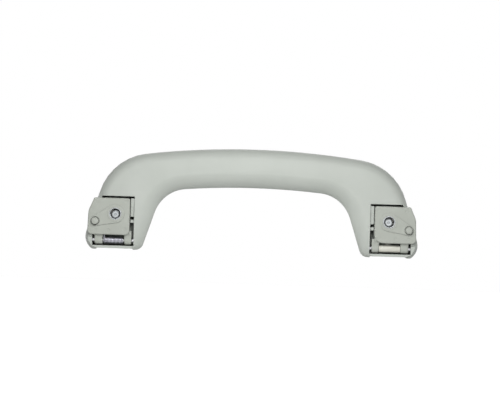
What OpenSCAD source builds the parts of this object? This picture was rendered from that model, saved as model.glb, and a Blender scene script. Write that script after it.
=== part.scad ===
// Folding roof grab handle for a car cabin, in millimetres.
// X runs along the handle and +Z points to the back of its arch. The roof lies at Y = 0 and the
// cabin is on the +Y side. The origin is midway between the two fixing screws, on the roof.
// The arched grip hangs on two brackets. They stay screwed to the roof while the grip folds down,
// with a torsion spring in one foot and a rotary damper in the other.

/* [Outline] */
// Distance between the two fixing screws
hole_spacing = 200; // [180:5:240]
// Height of the grip's back above the screws, at the middle
grip_top = 50.4; // [46:0.2:56]
// Height of the grip bar at the middle
bar_height = 28.6; // [25:0.2:31]
// Radius of the long curve along the grip's back
crown_r = 575; // [450:5:900]
// Radius where the back turns down into a foot
outer_corner_r = 40; // [34:1:44]
// Radius of the hand opening's upper corners
inner_corner_r = 25; // [19:1:29]
// Lean of a foot's outer side from upright, in degrees
outer_lean = 17; // [14:0.5:20]
// Lean of a foot's inner side from upright, in degrees
inner_lean = 18; // [15:0.5:20]

/* [Feet] */
// From a screw out to the widest place of its foot
foot_outer = 22.3; // [21.6:0.1:24]
// From a screw in to the foot's inner side, at the level of the foot's widest place
foot_inner = 22; // [20:0.2:26]
// Height of the widest place above the hinge axis
foot_widest_rise = 2.5; // [1.5:0.1:4]
// Radius of a foot's lower outer corner
foot_corner_r = 11.3; // [9:0.1:13]
// Radius of a foot's lower inner corner
foot_toe_r = 6; // [4:0.2:8]
// From the hinge axis down to the end of a foot
foot_end_drop = 6.8; // [6.4:0.1:7]
// How far the wall under the hinge stays short of the foot's end
end_notch = 0.9; // [0.4:0.1:1.2]

/* [Depth] */
// From the roof to the back surface of a foot
rear_gap = 1.9; // [1.4:0.1:2.4]
// From the roof to the front surface of a foot
foot_front = 22; // [21.2:0.2:26]
// How much further from the roof the bar's back surface bows out
rear_bow = 2.6; // [0:0.2:6]
// How much further from the roof the bar's front surface bows out
front_bow = 2.4; // [0:0.2:6]
// Rounded width along the upper and outer edges
outer_round = 8.5; // [7:0.5:10]
// Rounded width along the lower and inner edges
inner_round = 11; // [8:0.5:12]
// Radius at the front lower edge of a foot
foot_front_r = 8; // [6:0.5:10]
// Share of its depth at which a foot is widest, counted from the roof side
foot_widest_share = 0.38; // [0.3:0.01:0.5]
// Share of its depth at which the bar is widest, counted from the roof side
bar_widest_share = 0.52; // [0.4:0.01:0.6]

/* [Pocket] */
// Height of the pocket's upper edge above the screw
pocket_top = 12.9; // [12.4:0.1:14]
// From a screw in to the pocket's inner side
pocket_inner = 13.7; // [13.3:0.1:14.5]
// From a screw out to the pocket's outer side, beside the hinge
pocket_outer = 16.8; // [16.4:0.1:17.4]
// Thickness of the foot's outer wall above the hinge
pocket_wall = 3.4; // [2.8:0.1:3.8]
// Thickness of the foot's front wall behind the pocket
pocket_front_wall = 5.5; // [4.5:0.5:6]
// Extra depth of the round well that the screw's head sits in
well_depth = 2.3; // [1.8:0.1:2.6]
// Thickness of the foot's wall under the hinge
end_wall = 2.8; // [2.4:0.1:3]
// How far the lowered rim under the hinge stays clear of the pin, on the roof side
rim_pin_cover = 1.3; // [1:0.1:1.6]

/* [Bracket] */
// Thickness of the bracket's plate
plate_t = 2.4; // [2:0.1:2.6]
// Height of the plate's upper edge above the screw
plate_top = 11.4; // [10.8:0.1:11.8]
// From the screw down to the plate's lower edge
plate_drop = 15.5; // [15:0.1:16]
// From the screw in to the plate's inner edge
plate_inner = 10.5; // [10.2:0.1:11]
// From the screw out to the plate's outer edge, at its lower end
plate_outer = 20.2; // [19:0.1:20.6]
// How far the plate's outer edge leans in at its upper end
plate_outer_lean = 4; // [3:0.1:5]
// Height of the raised teardrop above the plate
land_h = 0.8; // [0.4:0.1:0.9]
// Height of the seat ring above the teardrop
seat_h = 0.2; // [0.2:0.05:0.4]
// Radius of the seat ring
seat_r = 6.2; // [5.9:0.1:6.8]
// Depth of the rim behind the plate
rim_depth = 5.6; // [5:0.1:6]
// Wall of the rim behind the plate
rim_t = 1.8; // [1.4:0.1:2.2]
// Length of the round tube behind the plate that guides the screw's head
tube_len = 9.6; // [8.5:0.1:10]
// Wall of that tube
tube_t = 1.5; // [1.2:0.1:1.8]
// Radius of the plate's rounded outer side
plate_side_r = 9; // [7:0.5:10]
// Radius of the plate's upper corners
plate_corner_r = 1.5; // [1:0.1:2]
// Radius of the plate's lower outer corner
plate_foot_r = 3; // [2:0.5:4]
// Radius of the left plate's lower inner corner
left_toe_r = 3.5; // [2.5:0.5:5]
// Radius of the right plate's lower inner corner
right_toe_r = 6.5; // [5:0.5:8]
// Soft edge of the plate on the roof side
plate_edge = 0.6; // [0.4:0.1:0.8]
// Thickness of the ribs behind the plate
bracket_rib_t = 1.4; // [1:0.1:1.8]

/* [Locating pin] */
// From the screw out to the locating pin
peg_x = 14.5; // [14:0.1:15]
// From the screw's level down to the locating pin
peg_drop = 5.6; // [5:0.1:6.5]
// Radius of the locating pin
peg_r = 2.6; // [2.2:0.1:2.8]
// How far the locating pin stands into the roof
peg_len = 3; // [2:0.1:4]

/* [Hinge] */
// From the roof to the hinge axis
axis_depth = 7.3; // [7.2:0.1:7.6]
// From the screws down to the hinge axis
axis_drop = 19.5; // [19.3:0.1:20]
// Radius of the hinge pins
pin_r = 1.5; // [1.3:0.05:1.6]
// How far a pin reaches into the foot's inner side
pin_hold = 5; // [4:0.5:8]
// How far a pin's outer end lies below the foot's surface
pin_inset = 0.9; // [0.6:0.1:1.2]
// Chamfer at a pin's outer end
pin_chamfer = 0.4; // [0.2:0.1:0.6]
// Radius of the bracket's hinge lugs
lug_r = 3.4; // [3.1:0.1:3.5]
// Width of the lug next to the hand opening
inner_lug_w = 5.4; // [4.8:0.1:5.6]
// Width of the lug next to the foot's outer wall
outer_lug_w = 6; // [5.4:0.1:6.2]
// Side clearance between each lug and the foot
lug_side_gap = 1.7; // [1.5:0.1:1.9]

/* [Spring and damper] */
// Wire diameter of the return spring
wire_d = 1; // [0.8:0.05:1.1]
// Outer diameter of the spring's coil
spring_d = 5.6; // [5.3:0.1:5.9]
// Free length beside the return spring's coil, between the bracket's lugs
spring_play = 0.8; // [0.4:0.1:2]
// Outer diameter of the damper's housing
damper_d = 5.8; // [5.4:0.1:6]
// Wall of the damper's housing
damper_wall = 0.75; // [0.6:0.05:0.9]

/* [Fixings] */
// Thread diameter of the fixing screws
screw_d = 6; // [5:0.5:6]
// Depth of the point at a screw's end
screw_point = 0.8; // [0.6:0.1:1]
// Length of a screw under its head
screw_len = 12; // [11:0.5:12]
// How far a screw's end lies inside its hole, as supplied
screw_recess = 1.5; // [1:0.1:1.6]
// Radius of a screw's flange
flange_r = 6; // [5.5:0.1:6.2]
// Thickness of a screw's flange
flange_t = 1.2; // [1:0.1:1.5]
// Radius of the centre mark in a screw's end
mark_r = 1; // [0.6:0.1:1.2]
// Depth of that mark
mark_depth = 0.7; // [0.3:0.1:1]
// Height of a screw's head with its flange
head_h = 4; // [3.5:0.1:4.2]
// Width across the flats of a screw's head
head_flats = 8; // [7:0.5:9]
// Bore of the eyelet in each bracket
eyelet_bore = 7.5; // [7:0.1:7.8]
// Wall of the eyelet
eyelet_t = 0.75; // [0.6:0.05:0.9]
// Chamfer at the eyelet's mouth
eyelet_chamfer = 0.35; // [0.2:0.05:0.5]
// Thickness of the plastic ring that holds a screw back
retainer_t = 1.5; // [1.2:0.1:2]

/* [Bumpers] */
// Radius of a rubber bumper
bumper_r = 2.2; // [1.8:0.1:2.3]
// Height of a rubber bumper
bumper_h = 2.2; // [1.8:0.1:2.6]
// Radius of a bumper's stem
bumper_stem_r = 1.1; // [0.9:0.1:1.2]
// Length of a bumper's stem
bumper_stem = 3; // [2:0.2:4]
// Chamfer around a bumper's end
bumper_soft = 0.5; // [0.3:0.1:0.8]

/* [Clearances] */
// Radial clearance of a lug on its hinge pin
run_gap = 0.08; // [0.05:0.01:0.1]
// Radial clearance of a piece pressed into another
press_gap = 0.01; // [0:0.005:0.02]
// Clearance between pieces that rest on each other
rest_gap = 0.1; // [0.05:0.05:0.2]
// Clearance between the plate and the pocket's ledge
ledge_gap = 0.2; // [0.15:0.05:0.3]
// Clearance around a screw's head in its tube
head_gap = 0.8; // [0.6:0.1:1]
// Clearance between the bracket's rim and the pocket
rim_gap = 0.8; // [0.6:0.1:1]

/* [Hidden] */

$fn = 48;
SHELL = [0.77, 0.79, 0.76];
PLATE = [0.70, 0.72, 0.70];
STEEL = [0.66, 0.67, 0.69];
IVORY = [0.90, 0.89, 0.84];
RUBBER = [0.16, 0.16, 0.17];
NYLON = [0.88, 0.88, 0.85];

// Half of the screw spacing, and the hinge axis
half = hole_spacing / 2;
axis_z = -axis_drop;

// Levels of the plate, counted from the roof
land_y = seat_h;
plate_y = land_y + land_h;
plate_front = plate_y + plate_t;
rim_front = plate_front + rim_depth;
tube_front = plate_front + tube_len;
ledge_y = plate_front + ledge_gap;
pocket_y = foot_front - pocket_front_wall;
end_rim_y = axis_depth - pin_r - rim_pin_cover;

// Outline of the arch: each curve is an arc, and each side is a line at a distance from the origin
foot_end = axis_z - foot_end_drop;
foot_widest_z = axis_z + foot_widest_rise;
outer_n = [cos(outer_lean), sin(outer_lean)];
inner_n = [cos(inner_lean), sin(inner_lean)];
foot_c = [half + foot_outer - foot_corner_r, foot_widest_z];
outer_d = foot_c * outer_n + foot_corner_r;
inner_d = [half - foot_inner, foot_widest_z] * inner_n;
bar_under = grip_top - bar_height;
under_r = crown_r - bar_height;

// Centre of the arc of radius r that joins an arch of radius arch_r to a leaning side
function corner_centre(arch_r, top, n, d, r) =
    let (
        along = [-n[1], n[0]],
        start = n * (d - r) - [0, top - arch_r],
        b = start * along,
        c = start * start - pow(arch_r - r, 2)
    ) n * (d - r) + along * (-b + sqrt(b * b - c));

outer_c = corner_centre(crown_r, grip_top, outer_n, outer_d, outer_corner_r);
inner_c = corner_centre(under_r, bar_under, inner_n, inner_d, inner_corner_r);
under_end = inner_c + inner_corner_r * unit(inner_c - [0, bar_under - under_r]);
toe_c = [(inner_d + foot_toe_r - inner_n[1] * (foot_end + foot_toe_r)) / inner_n[0],
         foot_end + foot_toe_r];
foot_top_z = foot_c[1] + foot_corner_r * outer_n[1];

function unit(v) = v / norm(v);

// How far a ray from p along u runs before it leaves a circle
function ray_circle(p, u, c, r) =
    let (q = p - c, b = q * u) -b + sqrt(b * b - q * q + r * r);

// Where a ray from inside the arch meets the outline of its back
function outer_point(p, u) =
    let (
        crown_hit = p + u * ray_circle(p, u, [0, grip_top - crown_r], crown_r),
        corner_hit = p + u * ray_circle(p, u, outer_c, outer_corner_r),
        side_hit = p + u * ((outer_d - p * outer_n) / (u * outer_n)),
        crown_dir = outer_c - [0, grip_top - crown_r],
        crown_angle = atan2(crown_dir[1], crown_dir[0]),
        hit_angle = atan2(corner_hit[1] - outer_c[1], corner_hit[0] - outer_c[0])
    ) hit_angle > crown_angle ? crown_hit : (hit_angle < outer_lean ? side_hit : corner_hit);

// Half widths of a foot at a height below its straight sides
function foot_outer_x(z) = foot_c[0] + sqrt(max(0, pow(foot_corner_r, 2) - pow(z - foot_c[1], 2)));
function foot_inner_x(z) =
    z > toe_c[1] - foot_toe_r * inner_n[1] ? (inner_d - inner_n[1] * z) / inner_n[0]
        : toe_c[0] - sqrt(max(0, pow(foot_toe_r, 2) - pow(z - toe_c[1], 2)));

// Stations of the loft from the middle to the end of a foot: [inner point, outer point]
BAR_STEPS = 5;
CORNER_STEPS = 12;
LEG_STEPS = 4;
END_STEPS = 8;

function bar_station(t) =
    let (x = under_end[0] * t)
    [[x, bar_under - under_r + sqrt(under_r * under_r - x * x)],
     [x, grip_top - crown_r + sqrt(crown_r * crown_r - x * x)]];
function corner_station(t) =
    let (
        start = atan2(under_end[1] - inner_c[1], under_end[0] - inner_c[0]),
        angle = start + (inner_lean - start) * t,
        u = [cos(angle), sin(angle)]
    ) [inner_c + inner_corner_r * u, outer_point(inner_c, u)];
function leg_station(t) =
    let (
        top = corner_station(1),
        foot = [[foot_inner_x(foot_top_z), foot_top_z], [foot_outer_x(foot_top_z), foot_top_z]]
    ) top * (1 - t) + foot * t;
function end_station(t) =
    let (z = foot_top_z + (foot_end - foot_top_z) * sin(90 * t))
    [[foot_inner_x(z), z], [foot_outer_x(z), z]];

half_stations = concat(
    [for (i = [0 : BAR_STEPS - 1]) bar_station(i / BAR_STEPS)],
    [for (i = [0 : CORNER_STEPS - 1]) corner_station(i / CORNER_STEPS)],
    [for (i = [0 : LEG_STEPS - 1]) leg_station(i / LEG_STEPS)],
    [for (i = [0 : END_STEPS]) end_station(i / END_STEPS)]
);
last_station = len(half_stations) - 1;
stations = concat(
    [for (i = [last_station : -1 : 1]) [for (p = half_stations[i]) [-p[0], p[1]]]],
    half_stations
);

// Front and back surfaces of the grip at a height, and the depth at which it is widest
function bow(z) = let (t = max(0, min(1, z / (grip_top - bar_height / 2)))) t * t * (3 - 2 * t);
END_LIFT = 0.6;
FRONT_FLATNESS = 0.8;
function rear_y(z) =
    z > axis_z ? rear_gap + rear_bow * bow(z)
        : axis_depth - (axis_depth - rear_gap)
            * sqrt(1 - pow((axis_z - z) / (foot_end_drop + END_LIFT), 2));
function front_y(z) =
    let (below = max(0, foot_end + foot_front_r - z))
    foot_front + front_bow * bow(z) - foot_front_r
        + sqrt(pow(foot_front_r, 2) - below * below * FRONT_FLATNESS);
function widest_y(z) =
    rear_y(z) + (front_y(z) - rear_y(z))
        * (foot_widest_share + (bar_widest_share - foot_widest_share) * bow(z));

// One rounded quarter of a section: how far in from the edge, and how far from the widest depth
QUARTER_STEPS = 7;
function quarter(width, depth, power, k) =
    let (a = 90 * k / QUARTER_STEPS)
    [width * (1 - pow(cos(a), 2 / power)), depth * pow(sin(a), 2 / power)];

ROUND = 1.9;
BOXY = 2.3;
SLANTED = 1.5;

// Closed ring of points around the grip at one station
function section(s) =
    let (
        inner = s[0], outer = s[1], z = (inner[1] + outer[1]) / 2,
        dir = unit(outer - inner), mid_y = widest_y(z),
        rear = mid_y - rear_y(z), front = front_y(z) - mid_y,
        n = QUARTER_STEPS,
        from_outer = function (q, sign) let (p = outer - dir * q[0]) [p[0], mid_y + sign * q[1], p[1]],
        from_inner = function (q, sign) let (p = inner + dir * q[0]) [p[0], mid_y + sign * q[1], p[1]]
    ) concat(
        [for (k = [0 : n]) from_outer(quarter(outer_round, rear, ROUND, k), -1)],
        [for (k = [n : -1 : 0]) from_inner(quarter(inner_round, rear, SLANTED, k), -1)],
        [for (k = [1 : n]) from_inner(quarter(inner_round, front, BOXY, k), 1)],
        [for (k = [n : -1 : 1]) from_outer(quarter(outer_round, front, BOXY, k), 1)]
    );

// Solid through a list of closed rings that all have the same number of points
module loft(rings) {
    m = len(rings[0]);
    n = len(rings);
    polyhedron(
        points = [for (ring = rings) for (p = ring) p],
        faces = concat(
            [[for (j = [m - 1 : -1 : 0]) j]],
            [for (i = [0 : n - 2]) for (j = [0 : m - 1])
                [i * m + j, i * m + (j + 1) % m, (i + 1) * m + j]],
            [for (i = [0 : n - 2]) for (j = [0 : m - 1])
                [i * m + (j + 1) % m, (i + 1) * m + (j + 1) % m, (i + 1) * m + j]],
            [[for (j = [0 : m - 1]) (n - 1) * m + j]]
        )
    );
}

// Extrudes a shape drawn in X and Z from one depth to another
module along_y(from, to) {
    translate([0, from, 0]) rotate([90, 0, 0]) translate([0, 0, from - to])
        linear_extrude(to - from) children();
}

// Cylinder along Y or along X, from one place to another
module rod_y(r, from, to) {
    translate([0, from, 0]) rotate([-90, 0, 0]) cylinder(r = r, h = to - from);
}
module rod_x(r, from, to) {
    translate([from, axis_depth, axis_z]) rotate([0, 90, 0]) cylinder(r = r, h = to - from);
}

// Places what is drawn with X counted outwards from a screw, in the right or the left foot
module in_foot(side) {
    mirror([side < 0 ? 1 : 0, 0, 0]) translate([half, 0, 0]) children();
}

// Heights of the notch and of the ledge's end beside the plate
NOTCH_TOP = -1.9;
NOTCH_BOTTOM = -4.1;
LEDGE_END = -6.4;
ledge_inner = plate_inner + ledge_gap * 2;
slant = tan(outer_lean);
// Height where the pocket's outer side starts to follow the foot's leaning side
outer_side_x = (outer_d / outer_n[0]) - half;
slant_z = (outer_side_x - pocket_wall / outer_n[0] - pocket_outer) / slant;

module pocket_outline() {
    polygon([
        [-pocket_inner, foot_end + end_wall],
        [pocket_outer, foot_end + end_wall],
        [pocket_outer, slant_z],
        [pocket_outer - (pocket_top - slant_z) * slant, pocket_top],
        [-pocket_inner, pocket_top],
        [-pocket_inner, plate_top],
        [-ledge_inner, plate_top],
        [-ledge_inner, NOTCH_TOP],
        [-pocket_inner, NOTCH_TOP],
        [-pocket_inner, NOTCH_BOTTOM],
        [-ledge_inner, NOTCH_BOTTOM],
        [-ledge_inner, LEDGE_END],
        [-pocket_inner, LEDGE_END]
    ]);
}

// Centres of the two bumpers: near the upper corners, where the bracket's rim comes down
POST_WALL = 0.2;
rim_top = plate_top - rim_gap;
rim_inner = ledge_inner - rim_gap;
bumper_z = rim_top - rim_t;
inner_bumper_x = -rim_inner + rim_t;
outer_bumper_x = pocket_outer - (bumper_z - slant_z) * slant - bumper_r - rim_gap;
bumper_top = rim_front + rest_gap;
post_top = bumper_top + bumper_h;

module bumper_post(x) {
    translate([x, 0, bumper_z]) difference() {
        rod_y(bumper_r + POST_WALL, post_top, pocket_y + LAP);
        rod_y(bumper_stem_r + press_gap, post_top - LAP, post_top + bumper_stem + rest_gap);
    }
}

// The spring's two legs, and the rib in the foot that one of them bears on
spring_r = (spring_d - wire_d) / 2;
left_gap_from = -pocket_inner + lug_side_gap + inner_lug_w;
left_gap_to = pocket_outer - lug_side_gap - outer_lug_w;
COIL_SLACK = 1.04;
coil_pitch = wire_d * COIL_SLACK;
spring_turns = floor((left_gap_to - left_gap_from - spring_play) / coil_pitch);
coil_len = spring_turns * coil_pitch;
coil_from = (left_gap_from + left_gap_to - coil_len) / 2;
leg_z = axis_z - spring_r;
rib_w = 3;
rib_h = 4;

module spring_rib() {
    translate([coil_from - rib_w / 2, pocket_y - rib_h, leg_z + wire_d / 2 + rest_gap])
        cube([rib_w, rib_h + LAP, rib_w]);
}

// How far cuts start inside and reach past what they cut
LAP = 1;
PAST = 8;
notch_end = 0.8;

module foot_cuts(side) {
    // Shallow step that the bracket's plate covers, open to the outer side
    along_y(-LAP, ledge_y) polygon([
        [-pocket_inner, foot_end - PAST], [foot_outer + PAST, foot_end - PAST],
        [foot_outer + PAST, pocket_top], [-pocket_inner, pocket_top]
    ]);
    // Deep pocket, with its bumper posts left standing
    difference() {
        along_y(ledge_y - LAP, pocket_y) pocket_outline();
        bumper_post(inner_bumper_x);
        bumper_post(outer_bumper_x);
        if (side < 0) spring_rib();
    }
    // Round well for the screw's head
    rod_y(tube_outer, pocket_y - LAP, pocket_y + well_depth);
    // The rim below the hinge is lower, so that the plate's lower edge can swing past it
    translate([-pocket_inner, -LAP, foot_end - PAST])
        cube([foot_outer + pocket_inner + PAST, end_rim_y + LAP, PAST + foot_end_drop + foot_widest_rise]);
    translate([notch_end - pocket_inner, -LAP, foot_end - PAST])
        cube([pocket_outer + pocket_inner - 4 * notch_end, foot_front + PAST, PAST + end_notch]);
    // Bore for the hinge pin, through the outer wall
    rod_x(pin_r + press_gap, -pocket_inner - pin_hold, foot_outer + PAST);
}

module grip() {
    color(SHELL) difference() {
        loft([for (s = stations) section(s)]);
        in_foot(1) foot_cuts(1);
        in_foot(-1) foot_cuts(-1);
    }
}

// Outline of a plate: round corners of several sizes, drawn in by an amount
module plate_outline(toe_r, shrink) {
    hull() {
        corner(-plate_inner + plate_corner_r, plate_top - plate_corner_r, plate_corner_r - shrink);
        corner(plate_outer - plate_outer_lean - plate_corner_r, plate_top - plate_corner_r,
            plate_corner_r - shrink);
        corner(plate_outer - plate_side_r - ledge_gap * 2, 0, plate_side_r - shrink);
        corner(plate_outer - plate_foot_r, -plate_drop + plate_foot_r, plate_foot_r - shrink);
        corner(-plate_inner + toe_r, -plate_drop + toe_r, toe_r - shrink);
    }
}
module corner(x, z, r) {
    translate([x, z]) circle(r = r, $fn = 32);
}

// Rim behind the plate: it follows the pocket's sides
RIM_STEP = 1;
rim_bottom = RIM_STEP - plate_drop;
module rim_outline() {
    polygon([
        [-rim_inner, rim_bottom],
        [pocket_outer - rim_gap, rim_bottom],
        [pocket_outer - rim_gap, slant_z - rim_gap / 2],
        [pocket_outer - rim_gap - (rim_top - slant_z + rim_gap / 2) * slant, rim_top],
        [-rim_inner, rim_top]
    ]);
}

tube_bore_r = flange_r + head_gap;
tube_outer = tube_bore_r + tube_t;

// Arm that carries a lug, in side view, counted from the hinge axis
module arm(from, to) {
    arm_top = axis_drop + rim_bottom + rim_t;
    rear = plate_front - axis_depth - ledge_gap / 2;
    plate_z = axis_drop - plate_drop;
    translate([from, axis_depth, axis_z]) rotate([90, 0, 90]) linear_extrude(to - from)
        polygon([
            [-lug_r, 0], [-lug_r, plate_z - plate_edge - ledge_gap], [rear, plate_z + plate_edge],
            [rear, arm_top], [rim_front - axis_depth, arm_top], [lug_r, 0]
        ]);
    rod_x(lug_r, from, to);
}

inner_lug_from = -pocket_inner + lug_side_gap;
outer_lug_to = pocket_outer - lug_side_gap;

// Round-ended locating pin, standing into the roof
PEG_DOME = 0.42;
module peg() {
    dome = peg_r * PEG_DOME;
    translate([peg_x, 0, -peg_drop]) rotate([90, 0, 0]) rotate_extrude()
        polygon(concat(
            [[0, -plate_y - LAP], [peg_r, -plate_y - LAP]],
            [for (a = [0 : 15 : 90]) [peg_r - dome + dome * cos(a), peg_len - dome + dome * sin(a)]],
            [[0, peg_len]]
        ));
}

seat_step = 0.45;
ejector_r = 1.4;
ejector_depth = 0.15;
ejector_spots = [[-8, 8.6], [13, 8.2], [-7, -11.5], [5, -12.6], [14.6, -12.4]];

module bracket(side, toe_r) {
    in_foot(side) difference() {
        union() {
            // Plate with a soft edge towards the roof
            hull() {
                along_y(plate_y + plate_edge, plate_front) plate_outline(toe_r, 0);
                along_y(plate_y, plate_front) plate_outline(toe_r, plate_edge);
            }
            // Raised teardrop around the hole and the pin, and the seat ring on it
            along_y(land_y, plate_y + plate_t / 2) hull() {
                circle(r = seat_r + seat_step);
                translate([peg_x, -peg_drop]) circle(r = peg_r + 2 * seat_step);
            }
            rod_y(seat_r - seat_step, 0, plate_y);
            peg();
            // Rim, screw tube and stiffening ribs behind the plate
            along_y(plate_front - LAP, rim_front) difference() {
                rim_outline();
                offset(delta = -rim_t) rim_outline();
            }
            rod_y(tube_outer, plate_front - LAP, tube_front);
            along_y(plate_front - LAP, rim_front - rim_t) intersection() {
                offset(delta = -rim_t / 2) rim_outline();
                union() {
                    square([4 * half, bracket_rib_t], center = true);
                    square([bracket_rib_t, 4 * half], center = true);
                }
            }
            arm(inner_lug_from, inner_lug_from + inner_lug_w);
            arm(outer_lug_to - outer_lug_w, outer_lug_to);
        }
        // Hole for the eyelet, and the tube's bore for the screw's head
        rod_y(eyelet_bore / 2 + eyelet_t + press_gap, -LAP, plate_front + LAP);
        rod_y(tube_bore_r, plate_front, tube_front + LAP);
        rod_x(pin_r + run_gap, -pocket_inner, pocket_outer);
        // Shallow marks that the ejector pins left on the plate
        for (spot = ejector_spots)
            translate([spot[0], 0, spot[1]]) rod_y(ejector_r, -LAP, plate_y + ejector_depth);
        // Slot in the rim for the spring's leg, or for the damper's key
        if (side < 0) {
            translate([coil_from + coil_len - wire_d / 2, axis_depth - spring_r, 0])
                slot(wire_d, wire_d);
        } else {
            translate([0, axis_depth, 0]) slot(key_len, key_w);
        }
    }
}

key_len = 4;
key_w = 1.2;

// Slot through the lower side of the rim for something len long and w wide
module slot(len, w) {
    translate([-len / 2 - rest_gap, -w / 2 - rest_gap, rim_bottom - LAP])
        cube([len + 2 * rest_gap, w + 2 * rest_gap, rim_t + 2 * LAP]);
}

module left_bracket() { color(PLATE) bracket(-1, left_toe_r); }
module right_bracket() { color(PLATE) bracket(1, right_toe_r); }

module hinge_pin(side) {
    outer_end = foot_outer_x(axis_z) - half - pin_inset;
    in_foot(side) {
        rod_x(pin_r, -pocket_inner - pin_hold + rest_gap, outer_end - pin_chamfer);
        translate([outer_end - pin_chamfer, axis_depth, axis_z]) rotate([0, 90, 0])
            cylinder(r1 = pin_r, r2 = pin_r - pin_chamfer, h = pin_chamfer);
    }
}

module left_hinge_pin() { color(STEEL) hinge_pin(-1); }
module right_hinge_pin() { color(STEEL) hinge_pin(1); }

// Torsion spring: legs and a close-wound coil, swept as one wire
SPRING_SIDES = 6;
TURN_STEPS = 16;
rim_leg = axis_drop + rim_bottom + rim_t + wire_d;
foot_leg = pocket_y - axis_depth - 1.5 * wire_d;

// The coil starts at the bottom and ends at the back, counted as an angle from +Y towards +Z
coil_angle = 360 * (spring_turns - 1) + 90;
coil_steps = floor(TURN_STEPS * coil_angle / 360);
function coil_point(i) =
    let (a = -90 - coil_angle * i / coil_steps)
    [coil_from + wire_d / 2 + (coil_len - wire_d) * i / coil_steps, spring_r * cos(a), spring_r * sin(a)];
wire_path = concat(
    [[coil_from + wire_d / 2, foot_leg, -spring_r]],
    [for (i = [0 : coil_steps]) coil_point(i)],
    [[coil_from + coil_len - wire_d / 2, -spring_r, rim_leg]]
);
function wire_dir(i) =
    let (n = len(wire_path))
    unit(wire_path[min(i + 1, n - 1)] - wire_path[max(i - 1, 0)]);
function wire_ring(i) =
    let (d = wire_dir(i), side = unit(cross(d, cross([1, 0, 0], d))), up = cross(side, d))
    [for (k = [0 : SPRING_SIDES - 1]) let (a = 360 * k / SPRING_SIDES)
        wire_path[i] + (side * cos(a) + up * sin(a)) * wire_d / 2];

module return_spring() {
    color(STEEL) in_foot(-1) translate([0, axis_depth, axis_z])
        loft([for (i = [0 : len(wire_path) - 1]) wire_ring(i)]);
}

// Rotary damper: the housing is keyed to the bracket and its rotor sits on the pin
damper_from = -pocket_inner + lug_side_gap + inner_lug_w + rest_gap;
damper_to = pocket_outer - lug_side_gap - outer_lug_w - rest_gap;
rotor_r = damper_d / 2 - damper_wall;

module damper_housing() {
    color(IVORY) in_foot(1) {
        difference() {
            union() {
                rod_x(damper_d / 2, damper_from, damper_to);
                translate([-key_len / 2, axis_depth - key_w / 2, axis_z + damper_d / 2 - LAP])
                    cube([key_len, key_w, axis_drop + rim_bottom + rim_t - 2 * LAP]);
            }
            rod_x(rotor_r + run_gap, damper_from + LAP, damper_to - LAP);
            rod_x(pin_r + run_gap, damper_from - LAP, damper_to + LAP);
        }
    }
}

module damper_rotor() {
    color(NYLON) in_foot(1) difference() {
        rod_x(rotor_r, damper_from + LAP + rest_gap, damper_to - LAP - rest_gap);
        rod_x(pin_r + press_gap, damper_from, damper_to);
    }
}

// Cone or round bar along Y from a level, with a radius at each end
module cone_y(r1, r2, from, h) {
    translate([0, from, 0]) rotate([-90, 0, 0]) cylinder(r1 = r1, r2 = r2, h = h);
}

// Hexagon flange screw with its end in the hole
SINK = 0.1;
module screw(side) {
    head_y = screw_recess + screw_len;
    color(STEEL) in_foot(side) difference() {
        union() {
            rod_y(screw_d / 2, screw_recess + screw_point, head_y + flange_t / 2);
            cone_y(screw_d / 2 - screw_point, screw_d / 2, screw_recess, screw_point);
            rod_y(flange_r, head_y, head_y + flange_t);
            translate([0, head_y, 0]) rotate([-90, 0, 0])
                cylinder(r = head_flats / 2 / cos(30), h = head_h, $fn = 6);
        }
        cone_y(mark_r, SINK, screw_recess - SINK, mark_depth + SINK);
    }
}

module left_screw() { screw(-1); }
module right_screw() { screw(1); }

// Steel eyelet that takes the screw's clamp load, flush with the seat ring
module eyelet(side) {
    bore_r = eyelet_bore / 2;
    color(STEEL) in_foot(side) difference() {
        rod_y(bore_r + eyelet_t, 0, plate_front);
        rod_y(bore_r, -LAP, plate_front + LAP);
        cone_y(bore_r + eyelet_chamfer, bore_r, -press_gap, eyelet_chamfer);
    }
}

module left_eyelet() { eyelet(-1); }
module right_eyelet() { eyelet(1); }

// Plastic ring in the screw tube that grips the thread and holds the screw back
retainer_y = plate_front + tube_len / 2;

module screw_retainer(side) {
    color(NYLON) in_foot(side) difference() {
        rod_y(tube_bore_r - press_gap, retainer_y, retainer_y + retainer_t);
        rod_y(screw_d / 2 + press_gap, retainer_y - LAP, retainer_y + retainer_t + LAP);
    }
}

module left_screw_retainer() { screw_retainer(-1); }
module right_screw_retainer() { screw_retainer(1); }

// Rubber bumper pressed into its post
module bumper(side, x) {
    color(RUBBER) in_foot(side) translate([x, 0, bumper_z]) {
        cone_y(bumper_r - bumper_soft, bumper_r, bumper_top, bumper_soft);
        rod_y(bumper_r, bumper_top + bumper_soft, post_top);
        rod_y(bumper_stem_r, post_top - bumper_h / 4, post_top + bumper_stem);
    }
}

module left_inner_bumper() { bumper(-1, inner_bumper_x); }
module left_outer_bumper() { bumper(-1, outer_bumper_x); }
module right_inner_bumper() { bumper(1, inner_bumper_x); }
module right_outer_bumper() { bumper(1, outer_bumper_x); }

grip();
left_bracket();
right_bracket();
left_hinge_pin();
right_hinge_pin();
return_spring();
damper_housing();
damper_rotor();
left_screw();
right_screw();
left_eyelet();
right_eyelet();
left_screw_retainer();
right_screw_retainer();
left_inner_bumper();
left_outer_bumper();
right_inner_bumper();
right_outer_bumper();
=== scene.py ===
"""Looks of a folding roof grab handle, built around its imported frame.

The handle is seen from the side that lies against the roof, with its grip folded up. X runs along
the handle, Z points to the back of its arch and the cabin is on the +Y side, all in metres.
"""

from __future__ import annotations

import logging
import math
from collections.abc import Callable, Iterator
from contextlib import contextmanager
from dataclasses import dataclass, field
from enum import Enum

import bmesh
import bpy
from mathutils import Matrix, Vector

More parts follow.
